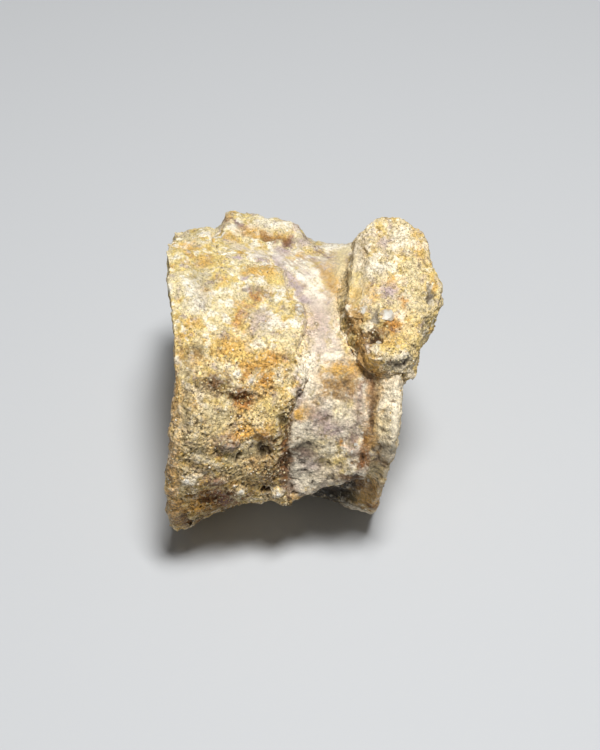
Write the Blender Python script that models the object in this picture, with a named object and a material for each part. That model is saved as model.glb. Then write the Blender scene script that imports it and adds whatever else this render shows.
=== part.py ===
import math

import bmesh
import bpy
from mathutils import Vector, noise

# A crocodile vertebra lying on its left flank, with sandy matrix still stuck to it.
# +X is the front end of the bone, +Y its back, where the neural arch stood, -Y its underside with the keel,
# and +Z its right flank. The origin is on the ground, under the middle of the bone.

MM = 0.001

# Centrum: a spool whose two ends flare out from the waist. Width is across (Y) and height is up (Z).
LEFT_END = -24.0 * MM
RIGHT_END = 16.4 * MM
AXIS_Y = 1.0 * MM
AXIS_Z = 22.9 * MM
WAIST_X = 5.4 * MM
WAIST_HALF_WIDTH = 22.8 * MM
WAIST_HALF_HEIGHT = 18.8 * MM
REAR_HALF_WIDTH = 28.2 * MM
REAR_HALF_HEIGHT = 23.8 * MM
REAR_FLARE = 2.1
FRONT_HALF_WIDTH = 26.4 * MM
FRONT_HALF_HEIGHT = 22.2 * MM
FRONT_FLARE = 2.0
SQUARENESS = 2.5
RIM_ROUNDING = 2.4 * MM
DISH_DEPTH = 3.6 * MM
ROUGHNESS = 0.5 * MM
ROUGHNESS_SIZE = 6.5 * MM
FINE_RATIO = 2.3
FINE_SHARE = 0.4

# Swells and hollows that run round the bone. Each is its angle and half width in degrees, then its size in
# mm. Angles go from the back of the bone (+Y) over its right flank (+Z) to its underside (-Y), at 180.
LEFT_END_WAVES = ((130, 38, 2.5),)
RIGHT_END_WAVES = ((210, 42, -3.0),)

# Keel along the underside, its edge broken. Towards the front it climbs the right flank, and it overhangs a
# hollow below it.
KEEL = ((0, 9, 2.4), (15, 9, -2.8))
KEEL_ANGLE = 195
KEEL_CLIMB = 1700
KEEL_CLIMB_FROM = -1.4 * MM
KEEL_START = -14.0 * MM
KEEL_END = 13.5 * MM
KEEL_FADES = (12.0 * MM, 4.0 * MM)
KEEL_CHIPS = 0.45
KEEL_CHIP_SIZE = 2.2 * MM
KEEL_CHIP_PLACE = 3.1

# Broken roots of the neural arch, and the floor of the canal between them
ROOTS = ((41, 9, 4.2), (-41, 9, 4.2))
ROOT_START = -15.6 * MM
ROOT_END = 2.2 * MM
ROOT_FADES = (2.0 * MM, 5.0 * MM)
CANAL = ((0, 17, -3.4),)

# Worn corner and swollen foot at the rear, and the foot at the front
REAR_CORNERS = ((44, 22, -4.9), (222, 20, 1.3))
REAR_CORNERS_START = 12.0 * MM
REAR_CORNERS_END = 24.0 * MM
FRONT_FOOT = ((229, 20, 3.4),)
FRONT_FOOT_X = 10.0 * MM
FRONT_FOOT_HALF_LENGTH = 7.5 * MM

# Groove that parts the front rim from the waist, on the side of the keel
SEAM_X = 11.6 * MM
SEAM_HALF_WIDTH = 1.1 * MM
SEAM_DEPTH = 0.9 * MM
SEAM_FROM = (95, 115)
SEAM_TO = (190, 215)

# Rib boss at the front of the right flank, under its cap of matrix
BOSS_BASE = Vector((14.0, -0.9, 42.1)) * MM
BOSS_TILT = math.radians(12)
BOSS_HALF_LENGTH = 15.8 * MM
BOSS_HALF_WIDTH = 8.6 * MM
BOSS_RISE = 5.6 * MM
BOSS_SINK = 9.0 * MM
BOSS_SQUARENESS = 1.9
BOSS_WAVES = ((-6, 20, 1.2), (-54, 17, -2.0), (52, 15, 0.6))
BOSS_DOME = 0.08
BOSS_ROUGHNESS = 0.9 * MM
CAP_THICKNESS = 1.7 * MM

# Relief of the cap on top of the boss. Each place is across and along the boss, then come its half width,
# its half length and its height, all in mm. It fades in above the given share of the height of the boss.
CAP_RELIEF = (
    (-2.4, 6.0, 1.6, 7.0, 0.8),
    (-6.4, 1.0, 2.0, 8.0, -0.9),
    (3.0, 8.7, 3.2, 4.0, 0.6),
    (-1.3, 3.4, 1.6, 1.6, 0.5),
    (-6.0, -6.8, 1.7, 2.0, -0.9),
    (-3.6, -9.7, 2.0, 1.3, -1.1),
    (-3.3, -12.8, 2.6, 2.0, 0.9),
    (2.4, -11.2, 2.4, 2.4, 0.8),
    (-0.6, -5.8, 1.6, 1.6, 0.8),
    (6.9, -1.4, 1.3, 2.6, -0.8),
)
CAP_RELIEF_LEAST = -0.9 * MM
CAP_RELIEF_FROM = 0.3

# Worn stump of the other rib boss
TWIN_CENTRE = Vector((9.0, 2.0, 6.4)) * MM
TWIN_RADII = Vector((5.2, 10.5, 8.0)) * MM

# Sandy crust on the rear half of the right flank. Its front edge runs out in two lobes, and past its steps
# it reaches further round the back and the underside.
CRUST_THICKNESS = 1.7 * MM
CRUST_THIN = ((212, 24, -1.3), (44, 16, -0.8))
CRUST_ROUGHNESS = 0.5 * MM
CRUST_LUMP_SIZE = 4.6 * MM
CRUST_FRONT_X = -2.4 * MM
CRUST_LOBES = ((112, 18, 2.8), (136, 10, 2.4), (50, 22, -4.6))
CRUST_WAVER = 1.2 * MM
CRUST_WAVER_ANGLE = 9
CRUST_WAVER_PLACE = 7.7
CRUST_BEVEL = 2.8 * MM
CRUST_UNDERCUT = -0.8 * MM
CRUST_BACK = (28, 66)
CRUST_BACK_STEP = (14.5 * MM, 17.0 * MM)
CRUST_UNDER = (200, 222)
CRUST_UNDER_STEP = (9.0 * MM, 15.0 * MM)
CRUST_SIDE_BEVEL = 4
CRUST_RIM_GAP = 1.6 * MM
CRUST_RIM_FROM = (124, 140)
GAP = 0.3 * MM

# Lumps and hollows of the crust. Each place is along the bone in mm and round it in degrees, then come its
# half length in mm, its half width in degrees and its height in mm.
CRUST_KNOBS = (
    (-14.4, 135, 2.0, 5, 0.9),
    (-10.4, 138, 2.2, 5, 1.0),
    (-7.6, 127, 2.8, 5, 0.8),
    (-18.0, 46, 2.4, 7, 0.6),
    (-1.8, 104, 1.8, 5, 0.5),
    (-12.9, 158, 2.2, 5, 1.0),
    (-7.2, 152, 2.2, 4, 0.6),
    (-6.8, 165, 1.8, 4, -0.7),
    (-10.8, 185, 2.0, 5, 0.7),
    (-4.6, 187, 1.8, 5, 0.7),
    (-10.2, 147, 1.8, 3, -0.6),
)

POINTS_ROUND = 80
FLANK_RINGS = 28
RIM_RINGS = 3
DISH_SCALES = (0.92, 0.78, 0.58, 0.32)
BOSS_POINTS_ROUND = 48
BOSS_SIDES = ((-1, 0.5), (-0.75, 0.72), (-0.45, 0.87), (-0.15, 0.96), (0.1, 1), (0.45, 0.98), (0.76, 0.95))
BOSS_TOP_SCALES = (0.88, 0.79, 0.7, 0.61, 0.52, 0.43, 0.34, 0.25, 0.14)
TWIN_SEGMENTS = 32
TWIN_RINGS = 18


def bell(distance, width):
    return math.exp(-((distance / width) ** 2))


def ramp(value, low, high):
    share = min(1.0, max(0.0, (value - low) / (high - low)))
    return share * share * (3 - 2 * share)


def waves(angle, features):
    # Sum of the swells at this angle round the axis, which is in degrees
    return sum(size * MM * bell((angle - at + 180) % 360 - 180, width) for at, width, size in features)


def left_end(angle):
    return LEFT_END + waves(angle, LEFT_END_WAVES)


def right_end(angle):
    return RIGHT_END + waves(angle, RIGHT_END_WAVES)


def half_sizes(x):
    if x < WAIST_X:
        share = ((WAIST_X - x) / (WAIST_X - LEFT_END)) ** REAR_FLARE
        width, height = REAR_HALF_WIDTH, REAR_HALF_HEIGHT
    else:
        share = ((x - WAIST_X) / (RIGHT_END - WAIST_X)) ** FRONT_FLARE
        width, height = FRONT_HALF_WIDTH, FRONT_HALF_HEIGHT
    share = min(share, 1.0)
    return (
        WAIST_HALF_WIDTH + (width - WAIST_HALF_WIDTH) * share,
        WAIST_HALF_HEIGHT + (height - WAIST_HALF_HEIGHT) * share,
    )


def keel(x, angle):
    along = ramp(x, KEEL_START, KEEL_START + KEEL_FADES[0]) * ramp(KEEL_END - x, 0, KEEL_FADES[1])
    chips = 1 + KEEL_CHIPS * noise.noise(Vector((x / KEEL_CHIP_SIZE, KEEL_CHIP_PLACE, 0)))
    crest = KEEL_ANGLE - KEEL_CLIMB * max(0, x - KEEL_CLIMB_FROM)
    return along * chips * waves(angle - crest, KEEL)


def arch_roots(x, angle):
    along = ramp(x, ROOT_START, ROOT_START + ROOT_FADES[0]) * ramp(ROOT_END - x, 0, ROOT_FADES[1])
    return along * waves(angle, ROOTS) + waves(angle, CANAL)


def worn_edges(x, angle):
    rear = ramp(-x, REAR_CORNERS_START, REAR_CORNERS_END) * waves(angle, REAR_CORNERS)
    return rear + bell(x - FRONT_FOOT_X, FRONT_FOOT_HALF_LENGTH) * waves(angle, FRONT_FOOT)


def seam(x, angle):
    around = ramp(angle % 360, *SEAM_FROM) * (1 - ramp(angle % 360, *SEAM_TO))
    return SEAM_DEPTH * around * bell(x - SEAM_X, SEAM_HALF_WIDTH)


def centrum_radius(x, angle):
    width, height = half_sizes(x)
    turn = math.radians(angle)
    across = abs(math.cos(turn) / width) ** SQUARENESS + abs(math.sin(turn) / height) ** SQUARENESS
    spool_radius = across ** (-1 / SQUARENESS)
    return spool_radius + keel(x, angle) + arch_roots(x, angle) + worn_edges(x, angle) - seam(x, angle)


def roughness(point, size):
    return noise.noise(point / size) + FINE_SHARE * noise.noise(point * FINE_RATIO / size)


def centrum_ring(share, inset, scale, shift):
    points = []
    for k in range(POINTS_ROUND):
        angle = 360 * k / POINTS_ROUND
        x = left_end(angle) + (right_end(angle) - left_end(angle)) * share
        outward = Vector((0, math.cos(math.radians(angle)), math.sin(math.radians(angle))))
        point = Vector((x + shift, AXIS_Y, AXIS_Z)) + outward * (centrum_radius(x, angle) - inset) * scale
        point += outward * ROUGHNESS * roughness(point, ROUGHNESS_SIZE) * scale
        point.z = max(point.z, 0.0)
        points.append(point)
    return points


def centrum_rings():
    dish = [(RIM_ROUNDING, scale, DISH_DEPTH * (1 - scale**2)) for scale in DISH_SCALES]
    arcs = [math.pi / 2 * k / RIM_RINGS for k in range(RIM_RINGS)]
    rim = [(RIM_ROUNDING * (1 - math.sin(arc)), 1, RIM_ROUNDING * (1 - math.cos(arc))) for arc in arcs]
    margin = RIM_ROUNDING / (RIGHT_END - LEFT_END)
    rings = [centrum_ring(0, *step) for step in dish[::-1] + rim]
    for k in range(FLANK_RINGS + 1):
        rings.append(centrum_ring(margin + (1 - 2 * margin) * k / FLANK_RINGS, 0, 1, 0))
    rings += [centrum_ring(1, inset, scale, -shift) for inset, scale, shift in rim[::-1] + dish]
    return rings


def boss_outline(angle):
    turn = math.radians(angle)
    across = abs(math.cos(turn) / BOSS_HALF_WIDTH) ** BOSS_SQUARENESS
    across += abs(math.sin(turn) / BOSS_HALF_LENGTH) ** BOSS_SQUARENESS
    return across ** (-1 / BOSS_SQUARENESS) + waves(angle, BOSS_WAVES)


def relief(point, across, along):
    # Height of the cap's own relief at a point of the boss
    x = (point - BOSS_BASE).dot(across) / MM
    y = (point - BOSS_BASE).dot(along) / MM
    height = 0
    for place_x, place_y, width, length, size in CAP_RELIEF:
        height += size * MM * bell(x - place_x, width) * bell(y - place_y, length)
    return max(height, CAP_RELIEF_LEAST)


def boss_rings(inset, capped=False):
    across = Vector((1, 0, 0))
    along = Vector((0, math.cos(BOSS_TILT), math.sin(BOSS_TILT)))
    up = across.cross(along)
    rings = []
    steps = [(height, scale, 0.0) for height, scale in BOSS_SIDES]
    steps += [(1 - BOSS_DOME * scale**4, scale, 1.0) for scale in BOSS_TOP_SCALES]
    for height, scale, on_top in steps:
        rise = height * ((BOSS_RISE if height > 0 else BOSS_SINK) - inset)
        points = []
        for k in range(BOSS_POINTS_ROUND):
            angle = 360 * k / BOSS_POINTS_ROUND
            outward = across * math.cos(math.radians(angle)) + along * math.sin(math.radians(angle))
            point = BOSS_BASE + outward * (boss_outline(angle) - inset) * scale + up * rise
            rough = BOSS_ROUGHNESS * roughness(point, ROUGHNESS_SIZE)
            point += (up * on_top + outward * (1 - on_top)) * rough
            if capped:
                point += up * relief(point, across, along) * ramp(height, CAP_RELIEF_FROM, 1)
            points.append(point)
        rings.append(points)
    return rings


def loft(name, rings):
    # Extrudes one ring of edges through all the rings and closes both ends
    bm = bmesh.new()
    verts = bmesh.ops.create_circle(bm, segments=len(rings[0]), radius=1, cap_ends=True)["verts"]
    edges = list(bm.edges)
    for vertex, point in zip(verts, rings[0]):
        vertex.co = point
    for points in rings[1:]:
        grown = bmesh.ops.extrude_edge_only(bm, edges=edges)["geom"]
        edges = [item for item in grown if isinstance(item, bmesh.types.BMEdge)]
        verts = [item for item in grown if isinstance(item, bmesh.types.BMVert)]
        for vertex, point in zip(verts, points):
            vertex.co = point
    bmesh.ops.contextual_create(bm, geom=edges)
    bmesh.ops.poke(bm, faces=[face for face in bm.faces if len(face.verts) > 4])
    bmesh.ops.triangulate(bm, faces=bm.faces)
    bmesh.ops.recalc_face_normals(bm, faces=bm.faces)
    return finished(name, bm)


def finished(name, bm):
    mesh = bpy.data.meshes.new(name)
    bm.to_mesh(mesh)
    bm.free()
    obj = bpy.data.objects.new(name, mesh)
    bpy.context.collection.objects.link(obj)
    return obj


def offset_copy(obj, name, distance):
    # distance is a function of a point of the surface
    bm = bmesh.new()
    bm.from_mesh(obj.data)
    bm.normal_update()
    moved = [vertex.co + vertex.normal * distance(vertex.co) for vertex in bm.verts]
    for vertex, point in zip(bm.verts, moved):
        vertex.co = point
    return finished(name, bm)


def crust_mask(point, angle):
    # 1 under the crust and 0 on bare bone
    waver = CRUST_WAVER * noise.noise(Vector((angle / CRUST_WAVER_ANGLE, CRUST_WAVER_PLACE, 0)))
    front = CRUST_FRONT_X + waver + waves(angle, CRUST_LOBES)
    back = CRUST_BACK[1] + (CRUST_BACK[0] - CRUST_BACK[1]) * ramp(-point.x, *CRUST_BACK_STEP)
    under = CRUST_UNDER[0] + (CRUST_UNDER[1] - CRUST_UNDER[0]) * ramp(-point.x, *CRUST_UNDER_STEP)
    rear = left_end(angle) + CRUST_RIM_GAP * ramp(angle, *CRUST_RIM_FROM)
    depth = centrum_radius(point.x, angle) - math.hypot(point.y - AXIS_Y, point.z - AXIS_Z)
    mask = ramp(front - point.x, -CRUST_BEVEL / 2, CRUST_BEVEL / 2)
    mask *= ramp(point.x - rear, 0, CRUST_BEVEL / 2)
    mask *= ramp(angle - back, -CRUST_SIDE_BEVEL, CRUST_SIDE_BEVEL)
    mask *= ramp(under - angle, -CRUST_SIDE_BEVEL, CRUST_SIDE_BEVEL)
    return mask * ramp(-depth, -RIM_ROUNDING, 0)


def crust_offset(point):
    angle = math.degrees(math.atan2(point.z - AXIS_Z, point.y - AXIS_Y)) % 360
    lumps = CRUST_ROUGHNESS * roughness(point, CRUST_LUMP_SIZE)
    for x, turn, length, width, size in CRUST_KNOBS:
        lumps += size * MM * bell(point.x / MM - x, length) * bell(angle - turn, width)
    thickness = CRUST_THICKNESS + lumps + waves(angle, CRUST_THIN)
    return CRUST_UNDERCUT + (thickness - CRUST_UNDERCUT) * crust_mask(point, angle)


def combine(target, operation, others):
    # One applied Boolean, after which only the largest closed surface stays
    tools = bpy.data.collections.new("tools")
    for other in others:
        tools.objects.link(other)
    modifier = target.modifiers.new("Boolean", "BOOLEAN")
    modifier.operation = operation
    modifier.operand_type = "COLLECTION"
    modifier.collection = tools
    graph = bpy.context.evaluated_depsgraph_get()
    bm = bmesh.new()
    bm.from_object(target, graph)
    target.modifiers.clear()
    bpy.data.collections.remove(tools)
    for other in others:
        bpy.data.objects.remove(other)
    bmesh.ops.triangulate(bm, faces=bm.faces, ngon_method="EAR_CLIP")
    keep_largest(bm)
    bm.to_mesh(target.data)
    bm.free()


def keep_largest(bm):
    unseen = set(bm.faces)
    shells = []
    while unseen:
        shell = [unseen.pop()]
        for face in shell:
            for edge in face.edges:
                near = [other for other in edge.link_faces if other in unseen]
                unseen.difference_update(near)
                shell.extend(near)
        shells.append(shell)
    largest = max(shells, key=lambda shell: sum(face.calc_area() for face in shell))
    spare = [face for shell in shells if shell is not largest for face in shell]
    bmesh.ops.delete(bm, geom=spare, context="FACES")


def paint(obj, name, colour, rough):
    material = bpy.data.materials.new(name)
    material.use_nodes = True
    shader = material.node_tree.nodes["Principled BSDF"]
    shader.inputs["Base Color"].default_value = (*colour, 1)
    shader.inputs["Roughness"].default_value = rough
    material.diffuse_color = (*colour, 1)
    obj.data.materials.clear()
    obj.data.materials.append(material)
    obj.data.shade_smooth()


def twin_stump():
    bm = bmesh.new()
    bmesh.ops.create_uvsphere(bm, u_segments=TWIN_SEGMENTS, v_segments=TWIN_RINGS, radius=1)
    for vertex in bm.verts:
        vertex.co = TWIN_CENTRE + vertex.co * TWIN_RADII
        vertex.co.z = max(vertex.co.z, 0.0)
    return finished("twin", bm)


def make_bone(centrum):
    twin = twin_stump()
    boss = loft("boss", boss_rings(CAP_THICKNESS))
    bone = offset_copy(centrum, "vertebra_bone", lambda point: 0)
    combine(bone, "UNION", [boss, twin])
    paint(bone, "fossil bone", (0.62, 0.53, 0.45), 0.6)


def make_crust(centrum):
    crust = offset_copy(centrum, "matrix_crust", crust_offset)
    combine(crust, "DIFFERENCE", [offset_copy(centrum, "bone space", lambda point: GAP)])
    paint(crust, "sandy matrix", (0.62, 0.49, 0.29), 0.9)


def make_cap(centrum):
    cap = loft("boss_cap", boss_rings(0, capped=True))
    boss_space = loft("boss space", boss_rings(CAP_THICKNESS - GAP))
    combine(cap, "DIFFERENCE", [boss_space, offset_copy(centrum, "bone space", lambda point: GAP)])
    paint(cap, "gritty matrix", (0.66, 0.54, 0.33), 0.85)


for old in list(bpy.data.objects):
    bpy.data.objects.remove(old)
spool = loft("spool", centrum_rings())
make_bone(spool)
make_crust(spool)
make_cap(spool)
bpy.data.objects.remove(spool)
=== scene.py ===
import math

import bmesh
import bpy
import numpy as np
from mathutils import Matrix, Quaternion, Vector, noise
from mathutils.bvhtree import BVHTree


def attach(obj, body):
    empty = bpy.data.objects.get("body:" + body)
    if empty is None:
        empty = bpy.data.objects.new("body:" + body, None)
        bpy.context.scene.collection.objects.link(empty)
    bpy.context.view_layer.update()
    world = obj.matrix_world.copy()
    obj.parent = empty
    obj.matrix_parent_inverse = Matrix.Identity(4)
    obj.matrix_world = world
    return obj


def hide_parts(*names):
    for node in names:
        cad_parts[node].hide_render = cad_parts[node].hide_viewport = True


# A fossil crocodile vertebra in sandy matrix, lying on its left flank. Sizes are in metres, in the packed
# model's own frame: +X is the front end of the bone, +Y its back, +Z up through its right flank.

mm = 0.001
scene = bpy.context.scene
noiseSeed = 5
noise.seed_set(noiseSeed)  # noise_vector would change from run to run without one

print("frame")
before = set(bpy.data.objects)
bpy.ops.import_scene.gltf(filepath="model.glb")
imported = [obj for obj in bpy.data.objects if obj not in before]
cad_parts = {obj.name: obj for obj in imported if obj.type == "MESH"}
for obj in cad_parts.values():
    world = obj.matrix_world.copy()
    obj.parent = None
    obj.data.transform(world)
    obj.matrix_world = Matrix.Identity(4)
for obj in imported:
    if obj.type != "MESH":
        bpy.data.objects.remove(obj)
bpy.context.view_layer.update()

photo = {
    "width": 600,  # pixels
    "height": 750,
    "pixel": 0.18 * mm,  # size of one pixel on the bone
    "focal": 1500,  # distance of the camera, in pixels
    "elevation": 50,  # degrees above the table
    "target": Vector((0, 0, 22.9 * mm)),
    "targetPixel": (304, 372),
}
tilt = math.radians(photo["elevation"])
toCamera = Vector((0, -math.cos(tilt), math.sin(tilt)))
upward = Vector((0, math.sin(tilt), math.cos(tilt)))
rightward = Vector((1, 0, 0))


def addObject(name, data):
    made = bpy.data.objects.new(name, data)
    scene.collection.objects.link(made)
    return made


def makeCamera():
    data = bpy.data.cameras.new("camera")
    data.sensor_width = 36
    data.lens = photo["focal"] * data.sensor_width / photo["height"]
    data.clip_start = 10 * mm
    made = addObject("camera", data)
    aside = (photo["targetPixel"][0] - photo["width"] / 2) * photo["pixel"]
    below = (photo["targetPixel"][1] - photo["height"] / 2) * photo["pixel"]
    made.location = photo["target"] + toCamera * photo["focal"] * photo["pixel"]
    made.location += upward * below - rightward * aside
    made.rotation_euler = (math.pi / 2 - tilt, 0, 0)
    scene.camera = made
    return made


print("camera")
camera = makeCamera()


def treeOf(*meshes):
    bm = bmesh.new()
    for mesh in meshes:
        bm.from_mesh(mesh)
    tree = BVHTree.FromBMesh(bm)
    bm.free()
    return tree


surface = treeOf(*(node.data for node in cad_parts.values()))


def pixelPoint(x, y, tree=surface):
    # The point of the model that shows at a pixel of the photograph
    ray = rightward * (x - photo["width"] / 2) - upward * (y - photo["height"] / 2)
    ray -= toCamera * photo["focal"]
    hit = tree.ray_cast(camera.location, ray.normalized())[0]
    if hit is None:
        raise ValueError(f"pixel {x}, {y} misses the bone")
    return np.array(hit)


def smoothStep(value, low, high):
    # Rises from 0 at low to 1 at high
    share = np.clip((value - low) / (high - low), 0, 1)
    return share * share * (3 - 2 * share)


def smoothFall(value, low, high):
    # Falls from 1 at low to 0 at high
    return 1 - smoothStep(value, low, high)


def cloud(points, size, octaves=3, place=0.0):
    # Cloudy noise, about -1 to 1, with lumps as wide as size
    return np.array([noise.fractal(p, 1, 2, octaves) for p in (points / size + place).tolist()])


def cells(points, size, place=0.0):
    # Distance to the nearest of scattered points, in sizes
    return np.array([noise.voronoi(p)[0][0] for p in (points / size + place).tolist()])


def domes(points, size, place=0.0):
    # Packed grains about as wide as size, from about -0.5 to 0.5
    return 0.5 - cells(points, size, place)


def pits(points, size, octaves, place):
    # Scattered small pits, 1 inside them
    return smoothStep(cloud(points, size, octaves, place), 0.2, 0.5)


def facets(points, size, place=0.0):
    # Broken faces about as wide as size, each tilted its own way, from about -0.5 to 0.5
    tilts = []
    for p in (points / size + place).tolist():
        centre = noise.voronoi(p)[1][0]
        tilts.append((noise.cell_vector(centre * 7) - Vector((0.5, 0.5, 0.5))).dot(Vector(p) - centre))
    return np.array(tilts)


def ledges(points, size, place=0.0):
    # Cloudy relief broken into flat steps with ragged edges, about -1 to 1
    value = cloud(points, size, 4, place) * 4
    level = np.floor(value)
    return (level + smoothStep(value - level, 0.3, 0.6)) / 4


def relief(shape, points, layer):
    # Heights of one layer of relief, given as its height, its width and what else its shape takes
    rise, *how = layer
    return rise * shape(points, *how)


def wandering(points, reach, size):
    # The points shifted about, so that what is drawn from them gets ragged edges
    shifts = []
    for p in (points / size).tolist():
        finer = [3 * c for c in p]
        shifts.append(noise.noise_vector(p) + noise.noise_vector(finer) * 0.5)
    return points + reach * np.array(shifts)


def spotDistance(points, spot):
    # Distance from a spot, 1 at its edge. A spot is a pixel, half width and half height in pixels.
    x, y, wide, high = spot
    offset = points - pixelPoint(x, y)
    across = offset @ np.array(rightward) / (wide * photo["pixel"])
    along = offset @ np.array(upward) / (high * photo["pixel"])
    deep = offset @ np.array(toCamera) / (1.5 * max(wide, high) * photo["pixel"])
    return np.sqrt(across**2 + along**2 + deep**2)


def lineDistance(points, pixels):
    # Distance in metres from a line drawn through pixels
    route = [pixelPoint(*pixel) for pixel in pixels]
    nearest = np.full(len(points), np.inf)
    for start, end in zip(route, route[1:]):
        run = end - start
        share = np.clip((points - start) @ run / (run @ run), 0, 1)
        nearest = np.minimum(nearest, np.linalg.norm(points - start - share[:, None] * run, axis=1))
    return nearest


def spotMask(points, spots, warp=0.0, edge=(0.55, 1.35)):
    # 1 inside the spots, each with its own strength, fading out at their edges
    mask = np.zeros(len(points))
    for *spot, strength in spots:
        mask = np.maximum(mask, strength * smoothFall(spotDistance(points, spot) + warp, *edge))
    return mask


def tint(red, green, blue):
    # A screen colour as the linear colour that a shader takes
    return tuple(((c / 255 + 0.055) / 1.055) ** 2.4 for c in (red, green, blue)) + (1,)


palette = {
    "cream": tint(222, 206, 162),
    "yellow": tint(220, 196, 126),
    "tan": tint(184, 150, 98),
    "ochre": tint(208, 166, 90),
    "orange": tint(194, 142, 74),
    "rust": tint(134, 92, 56),
    "brown": tint(108, 78, 46),
    "dark": tint(60, 44, 28),
    # nearly black, used for painted shadow under the plate
    "deep": tint(38, 32, 20),
    "olive": tint(98, 86, 54),
    "grey": tint(150, 142, 126),
    "lilac": tint(184, 166, 164),
    "mauve": tint(132, 106, 102),
    "white": tint(242, 234, 214),
    "milk": tint(214, 210, 198),
    "bone": tint(220, 206, 182),
    "pink": tint(204, 184, 168),
}

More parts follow.
